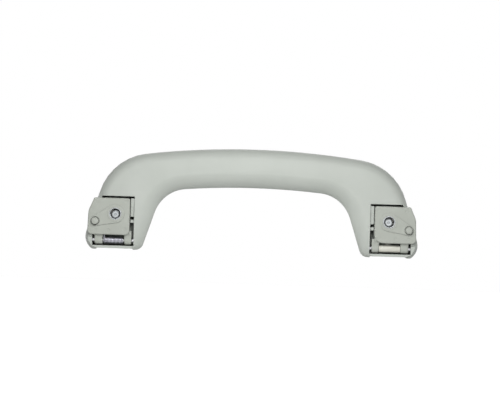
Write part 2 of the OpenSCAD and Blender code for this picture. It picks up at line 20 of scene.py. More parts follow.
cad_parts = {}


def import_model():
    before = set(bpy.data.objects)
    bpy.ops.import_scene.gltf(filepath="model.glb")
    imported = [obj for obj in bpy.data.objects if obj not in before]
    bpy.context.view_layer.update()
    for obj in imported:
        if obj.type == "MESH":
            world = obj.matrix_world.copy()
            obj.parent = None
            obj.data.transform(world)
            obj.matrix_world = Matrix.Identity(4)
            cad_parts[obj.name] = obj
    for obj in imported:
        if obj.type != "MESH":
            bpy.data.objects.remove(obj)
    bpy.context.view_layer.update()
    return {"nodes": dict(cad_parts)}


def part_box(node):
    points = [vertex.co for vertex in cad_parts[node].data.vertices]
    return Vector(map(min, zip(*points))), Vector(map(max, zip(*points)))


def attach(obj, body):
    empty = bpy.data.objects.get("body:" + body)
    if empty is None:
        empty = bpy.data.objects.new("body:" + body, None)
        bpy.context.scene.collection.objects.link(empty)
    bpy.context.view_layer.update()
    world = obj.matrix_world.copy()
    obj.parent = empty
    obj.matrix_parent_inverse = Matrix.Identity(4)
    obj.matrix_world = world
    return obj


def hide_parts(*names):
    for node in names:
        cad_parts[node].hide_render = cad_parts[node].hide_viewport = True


log = logging.getLogger("grab_handle")

MM = 0.001
HALF_SPACING = 100 * MM
AXIS = Vector((0, 7.3 * MM, -19.5 * MM))

Colour = tuple[float, float, float]


class Side(Enum):
    """The two feet of the handle, as they lie in the photograph."""

    LEFT = -1
    RIGHT = 1

    @property
    def word(self) -> str:
        """Start of the names of this side's pieces."""
        return self.name.lower()

    @property
    def mount(self) -> str:
        """Body that stays screwed to the roof on this side."""
        return f"{self.word}_mount"

    def at(self, x: float, y: float, z: float) -> Vector:
        """Point whose X is counted outwards from this side's screw."""
        return Vector((self.value * (HALF_SPACING + x), y, z))


class Relief(Enum):
    """Fine marks that a metal surface keeps from how it was made."""

    TURNED = "rings around the piece"
    DRAWN = "streaks along the wire"
    PLATED = "small crystals of the zinc layer"


class Socket:
    """Output of a shader node that takes part in Python expressions."""

    def __init__(self, shader: Shader, output: bpy.types.NodeSocket | None) -> None:
        """Wraps an output of a node of a shader."""
        self.shader = shader
        self.output = output

    def _math(self, operation: str, *values: Socket | float) -> Socket:
        """Adds a Math node on values and returns its result."""
        return self.shader.node(
            "ShaderNodeMath", {"operation": operation}, dict(enumerate(values))
        )

    def __add__(self, other: Socket | float) -> Socket:
        """Sum with a value."""
        return self._math("ADD", self, other)

    def __sub__(self, other: Socket | float) -> Socket:
        """Difference from a value."""
        return self._math("SUBTRACT", self, other)

    def __rsub__(self, other: float) -> Socket:
        """Difference of a number and this value."""
        return self._math("SUBTRACT", other, self)

    def __mul__(self, other: Socket | float) -> Socket:
        """Product with a value."""
        return self._math("MULTIPLY", self, other)

    def __or__(self, other: Socket) -> Socket:
        """Greater of two masks."""
        return self._math("MAXIMUM", self, other)

    __radd__ = __add__
    __rmul__ = __mul__

    def between(self, low: float, high: float) -> Socket:
        """Smooth step from 0 at a low value to 1 at a high one.

        Args:
            low: Value below which the result is 0.
            high: Value above which the result is 1.

        Returns:
            The stepped value.
        """
        return self.shader.node(
            "ShaderNodeMapRange",
            {"interpolation_type": "SMOOTHSTEP"},
            {"Value": self, "From Min": low, "From Max": high},
        )


class Shader:
    """Node tree of one material or world, written as Python expressions."""

    def __init__(self, owner: bpy.types.Material | bpy.types.World) -> None:
        """Starts an empty tree.

        Args:
            owner: Material or world that gets the tree.
        """
        self.owner = owner
        owner.use_nodes = True
        self.tree = owner.node_tree
        self.tree.nodes.clear()

    @staticmethod
    def material(name: str) -> Shader:
        """Shader of a new material."""
        return Shader(bpy.data.materials.new(name))

    def node(
        self,
        kind: str,
        settings: dict[str, object] | None = None,
        inputs: dict[str | int, object] | None = None,
        output: str | int = 0,
    ) -> Socket:
        """Adds a node, with its settings first and its inputs after them.

        Args:
            kind: Type name of the node.
            settings: Properties of the node, or the stops of its colour ramp.
            inputs: Numbers, colours or sockets by the name or place of the input.
            output: Name or place of the output that is returned.

        Returns:
            The chosen output.
        """
        made = self.tree.nodes.new(kind)
        for key, value in (settings or {}).items():
            setattr(made, key, value)
        for key, value in (inputs or {}).items():
            if isinstance(value, Socket):
                self.tree.links.new(value.output, made.inputs[key])
            else:
                made.inputs[key].default_value = value
        return Socket(self, made.outputs[output] if made.outputs else None)

    def place(self, stretch: Colour = (1, 1, 1)) -> Socket:
        """Object coordinates, stretched along the axes."""
        spot = self.node("ShaderNodeTexCoord", output="Object")
        return self.node("ShaderNodeMapping", inputs={"Vector": spot, "Scale": stretch})

    def noise(
        self, scale: float, detail: float = 2, stretch: Colour = (1, 1, 1)
    ) -> Socket:
        """Noise on the piece's own coordinates.

        Args:
            scale: Number of features in a metre.
            detail: Number of finer layers.
            stretch: Stretch of the pattern along each axis.

        Returns:
            A value from 0 to 1.
        """
        return self.node(
            "ShaderNodeTexNoise",
            inputs={
                "Vector": self.place(stretch),
                "Scale": scale,
                "Detail": detail,
                "Roughness": 0.55,
            },
        )

    def mix(self, share: Socket, first: object, second: object) -> Socket:
        """Colour between two colours.

        Args:
            share: How much of the second colour shows.
            first: Colour or socket shown at 0.
            second: Colour or socket shown at 1.

        Returns:
            The mixed colour.
        """
        ends = [
            value if isinstance(value, Socket) else (*value, 1)
            for value in (first, second)
        ]
        return self.node(
            "ShaderNodeMix",
            {"data_type": "RGBA"},
            {0: share, 6: ends[0], 7: ends[1]},
            output=2,
        )

    def rounded(self, radius: float) -> Socket:
        """Normal that runs smoothly over edges up to a radius."""
        return self.node("ShaderNodeBevel", {"samples": 6}, {"Radius": radius})

    def edges(self, rounded: Socket) -> Socket:
        """Mask of the edges where a rounded normal leaves the flat one.

        Args:
            rounded: Normal from the rounded method.

        Returns:
            A value from 0 on flat surfaces to 1 on edges.
        """
        flat = self.node("ShaderNodeNewGeometry", output="Normal")
        match = self.node(
            "ShaderNodeVectorMath",
            {"operation": "DOT_PRODUCT"},
            {0: rounded, 1: flat},
            output="Value",
        )
        return (1 - match).between(0.02, 0.25)

    def recess(self, reach: float) -> Socket:
        """Mask of gaps and inner corners, where shade is painted into the colour.

        Args:
            reach: How far away a neighbouring surface still counts.

        Returns:
            A value from 0 in the open to 1 deep in a gap.
        """
        open_sky = self.node(
            "ShaderNodeAmbientOcclusion", {"samples": 8}, {"Distance": reach}, output="AO"
        )
        return (1 - open_sky).between(0.25, 0.95)

    def bump(self, height: Socket, depth: float, normal: Socket | None) -> Socket:
        """Bumped normal.

        Args:
            height: Height from 0 to 1.
            depth: Depth of the relief in metres.
            normal: Normal that the relief stands on, if not the mesh's own.

        Returns:
            The normal.
        """
        inputs: dict[str | int, object] = {
            "Height": height,
            "Distance": depth,
            "Strength": 1.0,
        }
        if normal is not None:
            inputs["Normal"] = normal
        return self.node("ShaderNodeBump", inputs=inputs)

    def looked_at(self) -> Socket:
        """Mask of the rays from the camera, also past a reflection or through glass."""
        ways = [
            self.node("ShaderNodeLightPath", output=f"Is {way} Ray")
            for way in ("Camera", "Glossy", "Transmission")
        ]
        return ways[0] | ways[1] | ways[2]

    def surface(self, **inputs: object) -> bpy.types.Material:
        """Ends the tree in a Principled shader.

        Args:
            **inputs: Values or sockets by the shader's input names, with _ for a space.

        Returns:
            The finished material.
        """
        named = {
            key.replace("_", " "): (
                (*value, 1) if key == "Base_Color" and isinstance(value, tuple) else value
            )
            for key, value in inputs.items()
        }
        shader = self.node("ShaderNodeBsdfPrincipled", inputs=named)
        self.node("ShaderNodeOutputMaterial", inputs={"Surface": shader})
        return self.owner


@dataclass(frozen=True)
class PlasticFinish:
    """Moulded plastic with a fine grain, slow drift of tone, edges paler from wear and a painted
    highlight, and painted shade in its gaps.
    """

    name: str
    colour: Colour
    shade: Colour
    # Paler colour of the edges: partly wear, partly a painted highlight.
    edge: Colour
    roughness: float = 0.42
    grains: float = 2600
    depth: float = 0.010 * MM
    edge_radius: float = 0.4 * MM
    edge_wear_and_highlight: float = 0.6
    gloss: float = 0.5
    # Colour of the painted shade in gaps and inner corners.
    painted_recess_shade: Colour = (0.12, 0.125, 0.115)

    def material(self) -> bpy.types.Material:
        """Builds the material.

        Returns:
            The material, on the piece's own coordinates.
        """
        shader = Shader.material(self.name)
        drift = shader.noise(38, 3)
        flow = shader.noise(120, 2, (0.25, 1, 1))
        grain = shader.noise(self.grains, 2)
        soft = shader.rounded(self.edge_radius)
        rim = shader.edges(soft)
        body = shader.mix(drift.between(0.35, 0.7), self.colour, self.shade)
        # Edges lighten: partly wear, partly a painted highlight along them.
        wear_and_highlight = shader.mix(rim * self.edge_wear_and_highlight, body, self.edge)
        # Painted shade: the colour darkens towards a near-black in gaps and inner corners, by ambient
        # occlusion.
        tone = shader.mix(shader.recess(5 * MM) * 0.75, wear_and_highlight, self.painted_recess_shade)
        rough = self.roughness + (flow - 0.5) * 0.10 + (grain - 0.5) * 0.08 - rim * 0.05
        relief = shader.bump(grain * 0.8 + flow * 0.2, self.depth, soft)
        return shader.surface(
            Base_Color=tone, Roughness=rough, Normal=relief, IOR=1.48,
            Specular_IOR_Level=self.gloss,
        )


@dataclass(frozen=True)
class MetalFinish:
    """Bare or plated metal with the marks of how it was made."""

    name: str
    colour: Colour
    tint: Colour
    relief: Relief
    roughness: float = 0.28
    depth: float = 0.004 * MM
    along: Colour = (1, 1, 1)

    def material(self) -> bpy.types.Material:
        """Builds the material.

        Returns:
            The material, on the piece's own coordinates.
        """
        shader = Shader.material(self.name)
        if self.relief is Relief.PLATED:
            marks = shader.noise(2400, 4)
            cloud = shader.noise(260, 3)
        else:
            marks = shader.noise(900, 3, self.along)
            cloud = shader.noise(180, 3, self.along)
        stain = cloud.between(0.42, 0.68)
        tone = shader.mix(stain, self.colour, self.tint)
        rough = self.roughness + stain * 0.12 + (marks - 0.5) * 0.16
        relief = shader.bump(marks, self.depth, shader.rounded(0.12 * MM))
        return shader.surface(
            Base_Color=tone, Metallic=1.0, Roughness=rough, Normal=relief
        )


@dataclass(frozen=True)
class RubberFinish:
    """Soft dark rubber with a pale bloom in patches."""

    name: str = "bumper_rubber"
    colour: Colour = (0.028, 0.028, 0.030)
    bloom: Colour = (0.085, 0.085, 0.083)

    def material(self) -> bpy.types.Material:
        """Builds the material.

        Returns:
            The material, on the piece's own coordinates.
        """
        shader = Shader.material(self.name)
        patches = shader.noise(700, 4)
        grain = shader.noise(5200, 2)
        tone = shader.mix(patches.between(0.45, 0.75), self.colour, self.bloom)
        relief = shader.bump(grain, 0.014 * MM, None)
        return shader.surface(
            Base_Color=tone, Roughness=0.62 + patches * 0.2, Normal=relief
        )


@dataclass
class Finishes:
    """Every finish on the handle, each made once."""

    shell: bpy.types.Material = field(init=False)
    plate: bpy.types.Material = field(init=False)
    ivory: bpy.types.Material = field(init=False)
    nylon: bpy.types.Material = field(init=False)
    pin_steel: bpy.types.Material = field(init=False)
    spring_wire: bpy.types.Material = field(init=False)
    zinc: bpy.types.Material = field(init=False)
    rubber: bpy.types.Material = field(init=False)

    def __post_init__(self) -> None:
        """Builds the materials."""
        self.shell = PlasticFinish(
            "shell_plastic", (0.560, 0.592, 0.548), (0.536, 0.568, 0.524), (0.70, 0.74, 0.70),
            roughness=0.55, gloss=0.3,
        ).material()
        self.plate = PlasticFinish(
            "bracket_plastic", (0.480, 0.505, 0.455), (0.455, 0.480, 0.430), (0.66, 0.69, 0.65),
            roughness=0.50, gloss=0.4, edge_wear_and_highlight=0.8,
        ).material()
        self.ivory = PlasticFinish(
            "ivory_acetal", (0.745, 0.740, 0.660), (0.700, 0.695, 0.610), (0.80, 0.80, 0.73),
            roughness=0.34, grains=4200, depth=0.004 * MM, edge_radius=0.15 * MM,
        ).material()
        self.nylon = PlasticFinish(
            "natural_nylon", (0.72, 0.71, 0.65), (0.66, 0.65, 0.58), (0.80, 0.80, 0.75),
            roughness=0.40, grains=4200, depth=0.004 * MM, edge_radius=0.15 * MM,
        ).material()
        self.pin_steel = MetalFinish(
            "pin_steel", (0.46, 0.46, 0.47), (0.38, 0.38, 0.40), Relief.TURNED,
            roughness=0.24, along=(9, 1, 1), depth=0.0015 * MM,
        ).material()
        self.spring_wire = MetalFinish(
            "spring_wire", (0.42, 0.42, 0.46), (0.28, 0.28, 0.31), Relief.DRAWN,
            roughness=0.30, along=(0.4, 1, 1),
        ).material()
        self.zinc = MetalFinish(
            "zinc_steel", (0.38, 0.40, 0.41), (0.29, 0.30, 0.30), Relief.PLATED,
            roughness=0.46,
        ).material()
        self.rubber = RubberFinish().material()


class Bench:
    """Modelling steps that several pieces share."""

    @staticmethod
    def clear() -> None:
        """Leaves nothing selected."""
        bpy.ops.object.select_all(action="DESELECT")

    @staticmethod
    def take(piece: bpy.types.Object) -> None:
        """Makes one piece the only selected and active one."""
        Bench.clear()
        piece.select_set(True)
        bpy.context.view_layer.objects.active = piece

    @staticmethod
    @contextmanager
    def editing(piece: bpy.types.Object, select: str = "FACE") -> Iterator[bmesh.types.BMesh]:
        """Edit mode with nothing selected at first.

        Args:
            piece: Piece to edit.
            select: What is selected, VERT, EDGE or FACE.

        Yields:
            The mesh as Blender edits it.
        """
        Bench.take(piece)
        bpy.ops.object.mode_set(mode="EDIT")
        bpy.ops.mesh.select_mode(type=select)
        bpy.ops.mesh.select_all(action="DESELECT")
        yield bmesh.from_edit_mesh(piece.data)
        bpy.ops.object.mode_set(mode="OBJECT")

    @staticmethod
    def pick(
        piece: bpy.types.Object, kind: str, test: Callable[[Vector, Vector], bool]
    ) -> int:
        """Selects faces, edges or vertices by their place and normal, in edit mode.

        Args:
            piece: Piece that is being edited.
            kind: What is selected, verts, edges or faces.
            test: Takes a place and a normal, and says whether they are picked.

        Returns:
            How many were picked.
        """
        mesh = bmesh.from_edit_mesh(piece.data)
        found = 0
        for element in getattr(mesh, kind):
            if kind == "verts":
                place, normal = element.co, element.normal
            elif kind == "edges":
                first, second = element.verts
                place, normal = (first.co + second.co) / 2, (first.normal + second.normal) / 2
            else:
                place, normal = element.calc_center_median(), element.normal
            if test(place, normal):
                element.select_set(True)
                found += 1
        mesh.select_flush_mode()
        bmesh.update_edit_mesh(piece.data)
        return found

    @staticmethod
    def modify(piece: bpy.types.Object, kind: str, **settings: object) -> None:
        """Adds a modifier and applies it.

        Args:
            piece: Piece that is changed.
            kind: Type of the modifier.
            **settings: Properties of the modifier.
        """
        Bench.take(piece)
        modifier = piece.modifiers.new(kind.title(), kind)
        for key, value in settings.items():
            setattr(modifier, key, value)
        bpy.ops.object.modifier_apply(modifier=modifier.name)

    @staticmethod
    def copy_of(node: bpy.types.Object, name: str) -> bpy.types.Object:
        """Merged copy of a CAD node, as a new piece.

        Args:
            node: Node from the frame.
            name: Name of the piece.

        Returns:
            The piece, with its own mesh.
        """
        mesh = node.data.copy()
        mesh.name = name
        mesh.materials.clear()
        piece = bpy.data.objects.new(name, mesh)
        bpy.context.scene.collection.objects.link(piece)
        with Bench.editing(piece, "VERT"):
            bpy.ops.mesh.select_all(action="SELECT")
            bpy.ops.mesh.remove_doubles(threshold=0.0005 * MM)
            bpy.ops.mesh.customdata_custom_splitnormals_clear()
        return piece

    @staticmethod
    def named(name: str) -> bpy.types.Object:
        """Names the primitive that was just added."""
        piece = bpy.context.active_object
        piece.name = piece.data.name = name
        return piece

    @staticmethod
    def tidy(piece: bpy.types.Object, turn: bool = True) -> None:
        """Bakes the place into the mesh, merges doubles and turns faces outwards.

        Args:
            piece: Piece to finish.
            turn: Whether the faces' directions are worked out again.
        """
        Bench.take(piece)
        bpy.ops.object.transform_apply(location=True, rotation=True, scale=True)
        with Bench.editing(piece):
            bpy.ops.mesh.select_all(action="SELECT")
            bpy.ops.mesh.remove_doubles(threshold=0.001 * MM)
            if turn:
                bpy.ops.mesh.normals_make_consistent(inside=False)

    @staticmethod
    def join(pieces: list[bpy.types.Object]) -> bpy.types.Object:
        """Joins pieces into the first of them."""
        Bench.take(pieces[0])
        for piece in pieces:
            piece.select_set(True)
        bpy.ops.object.join()
        return pieces[0]

    @staticmethod
    def finish(
        piece: bpy.types.Object,
        material: bpy.types.Material,
        body: str,
        slot: str,
        nodes: tuple[str, ...] = (),
        angle: float = 32,
    ) -> bpy.types.Object:
        """Shades, dresses and places a piece on the frame.

        Args:
            piece: Piece, with its place in its mesh.
            material: Finish of the whole piece.
            body: CAD body that carries it.
            slot: Material slot of the record; not used.
            nodes: CAD nodes that it stands for.
            angle: Sharpest angle in degrees that is still shaded smooth.

        Returns:
            The piece.
        """
        Bench.take(piece)
        bpy.ops.object.shade_smooth_by_angle(angle=math.radians(angle))
        piece.data.materials.clear()
        piece.data.materials.append(material)
        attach(piece, body)
        if nodes:
            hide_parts(*nodes)
        return piece


@dataclass
class Grip:
    """The arched moulding with a pocket in each foot."""

    finishes: Finishes
    nodes: dict[str, bpy.types.Object]
    bore: float = 1.51 * MM
    bore_from: float = 81.3 * MM
    bore_to: float = 86.3 * MM
    bore_end: float = 82.1 * MM

    def build(self) -> list[bpy.types.Object]:
        """Builds the grip's shell.

        Returns:
            The pieces of the grip.
        """
        shell = Bench.copy_of(self.nodes["grip"], "grip_shell")
        with Bench.editing(shell, "EDGE"):
            bpy.ops.mesh.select_all(action="SELECT")
            bpy.ops.mesh.dissolve_limited(angle_limit=math.radians(0.4))
        for side in Side:
            self._close_bore(shell, side)
        return [
            Bench.finish(
                shell, self.finishes.shell, "handle", "shell_plastic", ("grip",), 28
            )
        ]

    def _close_bore(self, shell: bpy.types.Object, side: Side) -> None:
        """Ends a pin's blind bore before it reaches the leg's inner face.

        Args:
            shell: The grip's shell.
            side: Foot of the bore.
        """

        def wall(p: Vector, n: Vector) -> bool:
            """Says whether a face belongs to the bore, with or without its flat end."""
            spoke = Vector((0, p.y - AXIS.y, p.z - AXIS.z))
            facing = spoke.length > self.bore * 0.98 and n.dot(spoke.normalized()) < -0.98
            flat = abs(n.x) > 0.99 and abs(abs(p.x) - self.bore_from) < 0.02 * MM
            inside = self.bore_from - 0.02 * MM < p.x * side.value < self.bore_to
            return inside and spoke.length < self.bore * 1.002 and (facing or flat)

        with Bench.editing(shell):
            Bench.pick(shell, "faces", wall)
            bpy.ops.mesh.bisect(
                plane_co=(self.bore_end * side.value, 0, 0), plane_no=(1, 0, 0)
            )
            bpy.ops.mesh.select_all(action="DESELECT")
            Bench.pick(
                shell, "faces", lambda p, n: wall(p, n) and abs(p.x) < self.bore_end
            )
            bpy.ops.mesh.delete(type="FACE")
        with Bench.editing(shell, "EDGE"):
            bpy.ops.mesh.select_non_manifold(
                use_wire=False, use_multi_face=False, use_non_contiguous=False, use_verts=False
            )
            bpy.ops.mesh.fill_holes(sides=0)


@dataclass
class Bracket:
    """Plate that stays on the roof, with its rim, screw tube and hinge lugs."""

    side: Side
    finishes: Finishes
    nodes: dict[str, bpy.types.Object]
    edge: float = 0.22 * MM
    lug: float = 3.4 * MM
    lug_soft: float = 1.1 * MM
    peg: tuple[float, float] = (14.5 * MM, -5.6 * MM)
    peg_radius: float = 2.6 * MM
    groove: float = 0.55 * MM
    groove_end: float = 0.95 * MM

    def build(self) -> list[bpy.types.Object]:
        """Builds the bracket's plate with rounded lugs and softened edges.

        Returns:
            The pieces of the bracket.
        """
        node = f"{self.side.word}_bracket"
        plate = Bench.copy_of(self.nodes[node], f"{self.side.word}_bracket_plate")
        with Bench.editing(plate, "EDGE"):
            bpy.ops.mesh.select_all(action="SELECT")
            bpy.ops.mesh.dissolve_limited(angle_limit=math.radians(0.4))
        with Bench.editing(plate, "EDGE"):
            Bench.pick(plate, "edges", self._on_lug_rim)
            bpy.ops.mesh.bevel(offset=self.lug_soft, segments=4, affect="EDGES")
        self._cut_groove(plate)
        Bench.modify(
            plate, "BEVEL", width=self.edge, segments=2, limit_method="ANGLE",
            angle_limit=math.radians(40), use_clamp_overlap=True, harden_normals=False,
        )
        return [
            Bench.finish(
                plate, self.finishes.plate, self.side.mount, "bracket_plastic", (node,)
            )
        ]

    def _on_lug_rim(self, p: Vector, n: Vector) -> bool:
        """Says whether an edge runs around the open end of a hinge lug.

        Args:
            p: Middle of the edge.
            n: Normal of the mesh there.

        Returns:
            True if the edge is rounded.
        """
        spoke = Vector((p.y - AXIS.y, p.z - AXIS.z))
        around = p.z < AXIS.z and abs(spoke.length - self.lug) < 0.04 * MM
        up = AXIS.z < p.z < AXIS.z + self.lug and abs(spoke.x + self.lug) < 0.04 * MM
        return abs(n.x) > 0.3 and (around or up)

    def _cut_groove(self, plate: bpy.types.Object) -> None:
        """Cuts the round groove around the locating pin.

        Args:
            plate: The bracket's plate.
        """
        Bench.clear()
        bpy.ops.mesh.primitive_cylinder_add(
            vertices=48, radius=self.peg_radius + self.groove, depth=2 * self.groove_end,
            end_fill_type="NOTHING", location=self.side.at(self.peg[0], 0, self.peg[1]),
            rotation=(math.pi / 2, 0, 0),
        )
        ring = Bench.named("ring")
        Bench.tidy(ring)
        Bench.modify(ring, "SOLIDIFY", thickness=self.groove, offset=-1)
        Bench.modify(plate, "BOOLEAN", operation="DIFFERENCE", object=ring, solver="EXACT")
        bpy.data.objects.remove(ring)


@dataclass
class HingePin:
    """Ground steel pin, whose hidden end stops short of the leg's inner face."""

    side: Side
    finishes: Finishes
    nodes: dict[str, bpy.types.Object]
    short: float = 0.8 * MM

    def build(self) -> list[bpy.types.Object]:
        """Builds the pin.

        Returns:
            The pin.
        """
        node = f"{self.side.word}_hinge_pin"
        inner = min(abs(corner.x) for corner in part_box(node))
        pin = Bench.copy_of(self.nodes[node], f"{self.side.word}_hinge_rod")
        with Bench.editing(pin, "VERT"):
            Bench.pick(pin, "verts", lambda p, n: abs(p.x) < inner + 0.01 * MM)
            bpy.ops.transform.translate(value=(self.side.value * self.short, 0, 0))
        return [
            Bench.finish(pin, self.finishes.pin_steel, "handle", "steel", (node,), 40)
        ]


@dataclass
class ReturnSpring:
    """Close-wound torsion spring in the left foot, with a leg at each end."""

    finishes: Finishes
    wire: float = 1.0 * MM
    coil: float = 5.6 * MM
    turns: float = 13.25
    first: float = -5.53 * MM
    length: float = 13.56 * MM
    foot_leg: float = 7.7 * MM
    rim_leg: float = 7.8 * MM
    sides: int = 14
    steps: int = 26

    def build(self) -> list[bpy.types.Object]:
        """Winds the spring from a round section and draws out its two legs.

        Returns:
            The spring.
        """
        start = Side.LEFT.at(self.first, AXIS.y, AXIS.z)
        radius = (self.coil - self.wire) / 2
        Bench.clear()
        bpy.ops.mesh.primitive_circle_add(
            vertices=self.sides, radius=self.wire / 2, location=start,
            rotation=(math.pi / 2, 0, 0),
        )
        spring = Bench.named("return_spring_wire")
        with Bench.editing(spring, "VERT"):
            bpy.ops.mesh.select_all(action="SELECT")
            bpy.ops.transform.translate(value=(0, 0, -radius))
        Bench.take(spring)
        bpy.ops.object.transform_apply(location=False, rotation=True, scale=True)
        Bench.modify(
            spring, "SCREW", axis="X", angle=-2 * math.pi * self.turns,
            screw_offset=-self.length, iterations=1,
            steps=round(self.turns * self.steps), render_steps=round(self.turns * self.steps),
            use_merge_vertices=False, use_normal_calculate=True,
        )
        bpy.ops.object.transform_apply(location=True, rotation=True, scale=True)
        self._leg(spring, start.x, lambda p: p.z < AXIS.z and abs(p.y - AXIS.y) < 1e-6,
                  Vector((0, self.foot_leg, 0)))
        self._leg(spring, start.x - self.length,
                  lambda p: p.y < AXIS.y and abs(p.z - AXIS.z) < 1e-6,
                  Vector((0, 0, self.rim_leg)))
        Bench.tidy(spring)
        return [
            Bench.finish(
                spring, self.finishes.spring_wire, "handle", "spring_steel",
                ("return_spring",), 50,
            )
        ]

    def _leg(
        self,
        spring: bpy.types.Object,
        x: float,
        test: Callable[[Vector], bool],
        way: Vector,
    ) -> None:
        """Draws a straight leg out of one end of the coil.

        Args:
            spring: The wound wire.
            x: Place of that end along the axis.
            test: Says which points of the wire lie in the end's plane.
            way: Direction and length of the leg.
        """
        with Bench.editing(spring, "VERT"):
            Bench.pick(
                spring, "verts",
                lambda p, n: abs(p.x - x) < self.wire * 0.505 and test(p),
            )
            bpy.ops.mesh.select_mode(type="EDGE")
            bpy.ops.mesh.extrude_region_move(
                TRANSFORM_OT_translate={"value": way * 0.985}
            )
            bpy.ops.mesh.extrude_region_move(
                TRANSFORM_OT_translate={"value": way * 0.015}
            )
            bpy.ops.transform.resize(value=(0.8, 0.8, 0.8))
            bpy.ops.mesh.edge_face_add()


@dataclass
class Damper:
    """Ivory rotary damper in the right foot, keyed to the bracket's rim."""

    finishes: Finishes
    diameter: float = 5.8 * MM
    bore: float = 3.16 * MM
    start: float = -6.5 * MM
    end: float = 9.0 * MM
    cap: float = 1.1 * MM
    groove: float = 0.14 * MM
    groove_depth: float = 0.05 * MM
    key: tuple[float, float, float] = (4.0 * MM, 1.2 * MM, 4.8 * MM)
    key_rise: float = 1.9 * MM

    def build(self) -> list[bpy.types.Object]:
        """Builds the housing with the joints of its two caps.

        Returns:
            The housing.
        """
        middle = Side.RIGHT.at((self.start + self.end) / 2, AXIS.y, AXIS.z)
        length = self.end - self.start
        Bench.clear()
        bpy.ops.mesh.primitive_cylinder_add(
            vertices=56, radius=self.diameter / 2, depth=length, location=middle,
            rotation=(0, math.pi / 2, 0),
        )
        barrel = Bench.named("damper_barrel")
        Bench.tidy(barrel)
        left, right = middle.x - length / 2, middle.x + length / 2
        with Bench.editing(barrel):
            for x in (left + self.cap, right - self.cap):
                for edge in (x, x + self.groove):
                    bpy.ops.mesh.select_all(action="SELECT")
                    bpy.ops.mesh.bisect(plane_co=(edge, 0, 0), plane_no=(1, 0, 0))
            for x in (left + self.cap, right - self.cap):
                bpy.ops.mesh.select_all(action="DESELECT")
                Bench.pick(
                    barrel, "faces",
                    lambda p, n, x=x: 0 < p.x - x < self.groove and abs(n.x) < 0.1,
                )
                bpy.ops.mesh.extrude_region_shrink_fatten(
                    TRANSFORM_OT_shrink_fatten={"value": -self.groove_depth}
                )
            for end, inwards in ((left, 1), (right, -1)):
                bpy.ops.mesh.select_all(action="DESELECT")
                Bench.pick(
                    barrel, "faces",
                    lambda p, n, end=end: abs(n.x) > 0.9 and abs(p.x - end) < 0.01 * MM,
                )
                bpy.ops.mesh.inset(thickness=(self.diameter - self.bore) / 2)
                bpy.ops.mesh.extrude_region_move(
                    TRANSFORM_OT_translate={"value": (inwards * self.cap, 0, 0)}
                )
        Bench.modify(
            barrel, "BEVEL", width=0.12 * MM, segments=2, limit_method="ANGLE",
            angle_limit=math.radians(50),
        )
        Bench.clear()
        bpy.ops.mesh.primitive_cube_add(
            size=1,
            location=Side.RIGHT.at(0, AXIS.y, AXIS.z + self.key_rise + self.key[2] / 2),
            scale=self.key,
        )
        key = Bench.named("damper_key")
        Bench.tidy(key)
        Bench.modify(key, "BEVEL", width=0.15 * MM, segments=2)
        Bench.join([barrel, key])
        return [
            Bench.finish(
                barrel, self.finishes.ivory, "right_mount", "damper_plastic",
                ("damper_housing",), 40,
            )
        ]


